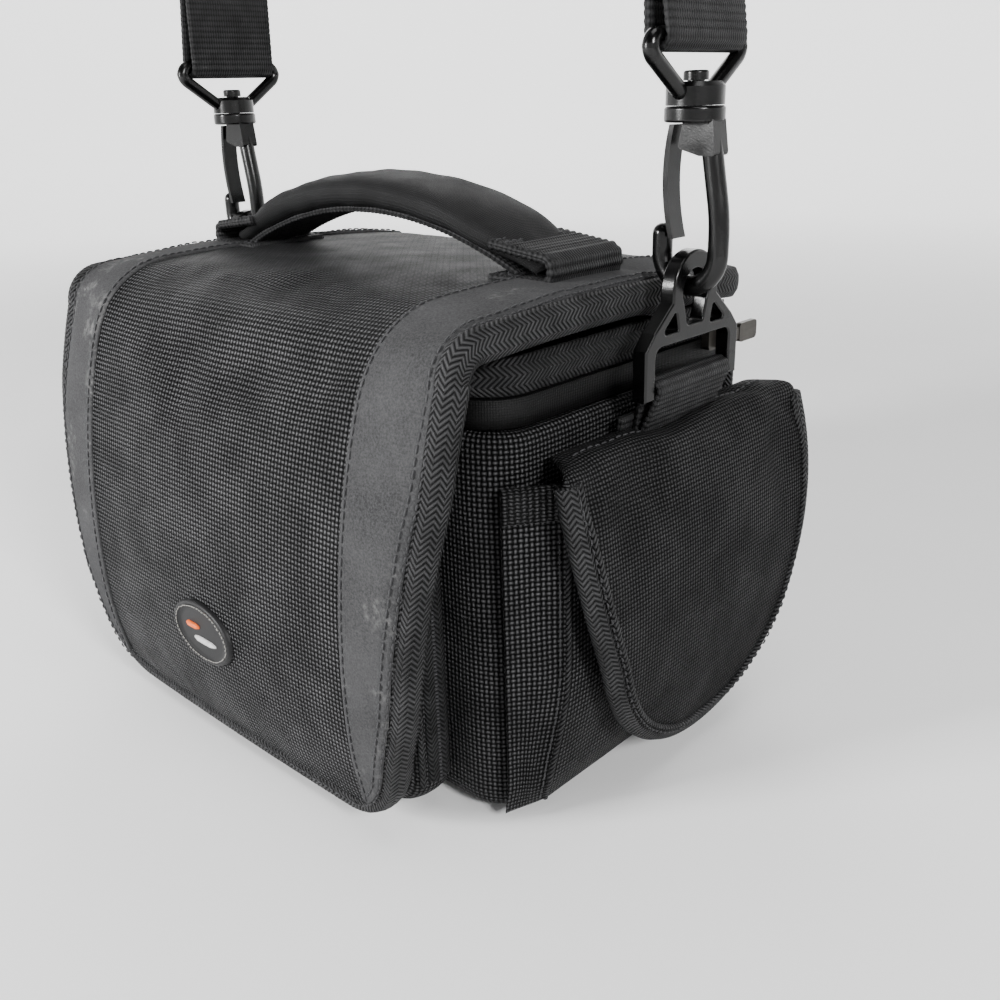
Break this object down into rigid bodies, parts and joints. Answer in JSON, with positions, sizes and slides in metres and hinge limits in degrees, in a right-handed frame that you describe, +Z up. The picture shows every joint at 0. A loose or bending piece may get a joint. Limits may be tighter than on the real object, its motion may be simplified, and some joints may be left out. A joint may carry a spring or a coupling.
{
  "type": "camera bag",
  "caption": "Padded camera shoulder bag with an overhanging lid and front flap, side pockets with rounded flaps, a top handle and a strap on swivel snap hooks.",
  "frame": {"origin": "underside of the shoulder pad at the top of the strap, where the bag is held", "axes": "+Z up, front flap faces -Y, +X to the viewer's right when facing the front"},
  "size_m": [0.2511, 0.1729, 0.4038],
  "materials": {
    "weave": "ballistic nylon weave, slightly glossy",
    "coated": "coated nylon, matt",
    "lining": "brushed loop lining over foam",
    "suede": "suede-like nubuck fabric, matt",
    "braid": "woven binding braid",
    "zip_tape": "herringbone zip tape",
    "hook_loop": "hook-and-loop",
    "webbing": "ribbed polypropylene webbing",
    "padding": "padded fine-ribbed fabric",
    "badge_rubber": "moulded soft patch",
    "plastic": "black acetal, satin gloss",
    "zip_metal": "dark lacquered zinc"
  },
  "bodies": {
    "bag": {"body_shell": "weave", "base_panel": "coated", "floor_pad": "lining", "back_panel": "coated", "belt_loop": "webbing", "body_zip_tape": "zip_tape", "front_pocket_gusset": "weave", "front_pocket_face": "weave", "front_pocket_zip_tape": "zip_tape", "front_pocket_loop_patch": "hook_loop", "strap_webbing": "webbing", "strap_pad": "padding", "pad_keepers": "webbing", "strap_adjuster": "plastic", "side_pocket_right": "weave", "side_pocket_left": "weave", "pocket_band_right": "braid", "pocket_band_left": "braid", "side_loop_patch_right": "hook_loop", "side_loop_patch_left": "hook_loop", "ring_tab_right": "webbing", "ring_tab_left": "webbing", "strap_ring_right": "plastic", "strap_ring_left": "plastic"},
    "compartment_divider": {"divider": "lining"},
    "lid": {"lid_panel": "weave", "lid_zip_tape": "zip_tape", "handle_pad": "padding", "handle_webbing": "webbing", "lid_binding_right": "braid", "lid_binding_left": "braid", "lid_strip_right": "suede", "lid_strip_left": "suede", "handle_anchor_right": "webbing", "handle_anchor_left": "webbing"},
    "front_flap": {"flap_panel": "weave", "flap_binding": "braid", "flap_strips": "suede", "flap_hook_patch": "hook_loop", "badge": "badge_rubber"},
    "front_slider": {"front_zip_slider": "zip_metal"},
    "front_pull": {"front_zip_pull": "zip_metal"},
    "pocket_flap_right": {"side_flap_right": "weave", "side_flap_binding_right": "braid", "side_hook_patch_right": "hook_loop"},
    "ring_right": {"side_ring_right": "plastic"},
    "hook_right": {"hook_frame_right": "plastic", "hook_rivet_right": "plastic"},
    "gate_right": {"hook_gate_right": "plastic"},
    "slider_right": {"zip_slider_right": "zip_metal"},
    "pull_right": {"zip_pull_right": "zip_metal"},
    "pocket_flap_left": {"side_flap_left": "weave", "side_flap_binding_left": "braid", "side_hook_patch_left": "hook_loop"},
    "ring_left": {"side_ring_left": "plastic"},
    "hook_left": {"hook_frame_left": "plastic", "hook_rivet_left": "plastic"},
    "gate_left": {"hook_gate_left": "plastic"},
    "slider_left": {"zip_slider_left": "zip_metal"},
    "pull_left": {"zip_pull_left": "zip_metal"}
  },
  "joints": [
    {"name": "lid_hinge", "type": "hinge", "parent": "bag", "child": "lid", "pos_m": [0, 0.0575, -0.2479], "axis": [-1, 0, 0], "range_deg": [0, 115]},
    {"name": "flap_hinge", "type": "hinge", "parent": "lid", "child": "front_flap", "pos_m": [0, -0.088, -0.25], "axis": [-1, 0, 0], "range_deg": [0, 100]},
    {"name": "divider_shift", "type": "slide", "parent": "bag", "child": "compartment_divider", "axis": [1, 0, 0], "range_m": [-0.1, 0.06]},
    {"name": "pocket_flap_right_hinge", "type": "hinge", "parent": "bag", "child": "pocket_flap_right", "pos_m": [0.118, 0, -0.2789], "axis": [0, -1, 0], "range_deg": [0, 120]},
    {"name": "ring_right_rock", "type": "hinge", "parent": "bag", "child": "ring_right", "pos_m": [0.1125, 0.0015, -0.2639], "axis": [0, 1, 0], "range_deg": [-2, 2]},
    {"name": "hook_right_swivel", "type": "hinge", "parent": "bag", "child": "hook_right", "pos_m": [0.113, 0, -0.1859], "axis": [0, 0, 1], "range_deg": [-10, 10]},
    {"name": "gate_right_press", "type": "hinge", "parent": "hook_right", "child": "gate_right", "pos_m": [0.1065, 0, -0.1909], "axis": [0, -1, 0], "range_deg": [0, 15], "stiffness_Nm_per_rad": 0.05},
    {"name": "slider_right_run", "type": "slide", "parent": "bag", "child": "slider_right", "axis": [0, 1, 0], "range_m": [-0.085, 0]},
    {"name": "pull_right_flip", "type": "hinge", "parent": "slider_right", "child": "pull_right", "pos_m": [0.1032, 0.038, -0.2589], "axis": [0, 0, -1], "range_deg": [0, 115]},
    {"name": "pocket_flap_left_hinge", "type": "hinge", "parent": "bag", "child": "pocket_flap_left", "pos_m": [-0.118, 0, -0.2789], "axis": [0, 1, 0], "range_deg": [0, 120]},
    {"name": "ring_left_rock", "type": "hinge", "parent": "bag", "child": "ring_left", "pos_m": [-0.1125, 0.0015, -0.2639], "axis": [0, -1, 0], "range_deg": [-2, 2]},
    {"name": "hook_left_swivel", "type": "hinge", "parent": "bag", "child": "hook_left", "pos_m": [-0.113, 0, -0.1859], "axis": [0, 0, 1], "range_deg": [-10, 10]},
    {"name": "gate_left_press", "type": "hinge", "parent": "hook_left", "child": "gate_left", "pos_m": [-0.1195, 0, -0.1909], "axis": [0, -1, 0], "range_deg": [0, 15], "stiffness_Nm_per_rad": 0.05},
    {"name": "slider_left_run", "type": "slide", "parent": "bag", "child": "slider_left", "axis": [0, 1, 0], "range_m": [-0.085, 0]},
    {"name": "pull_left_flip", "type": "hinge", "parent": "slider_left", "child": "pull_left", "pos_m": [-0.1032, 0.038, -0.2589], "axis": [0, 0, 1], "range_deg": [0, 115]},
    {"name": "front_slider_run", "type": "slide", "parent": "bag", "child": "front_slider", "axis": [-1, 0, 0], "range_m": [0, 0.104]},
    {"name": "front_pull_flip", "type": "hinge", "parent": "front_slider", "child": "front_pull", "pos_m": [0.052, -0.0785, -0.2837], "axis": [0, 1, 0], "range_deg": [0, 165]}
  ]
}
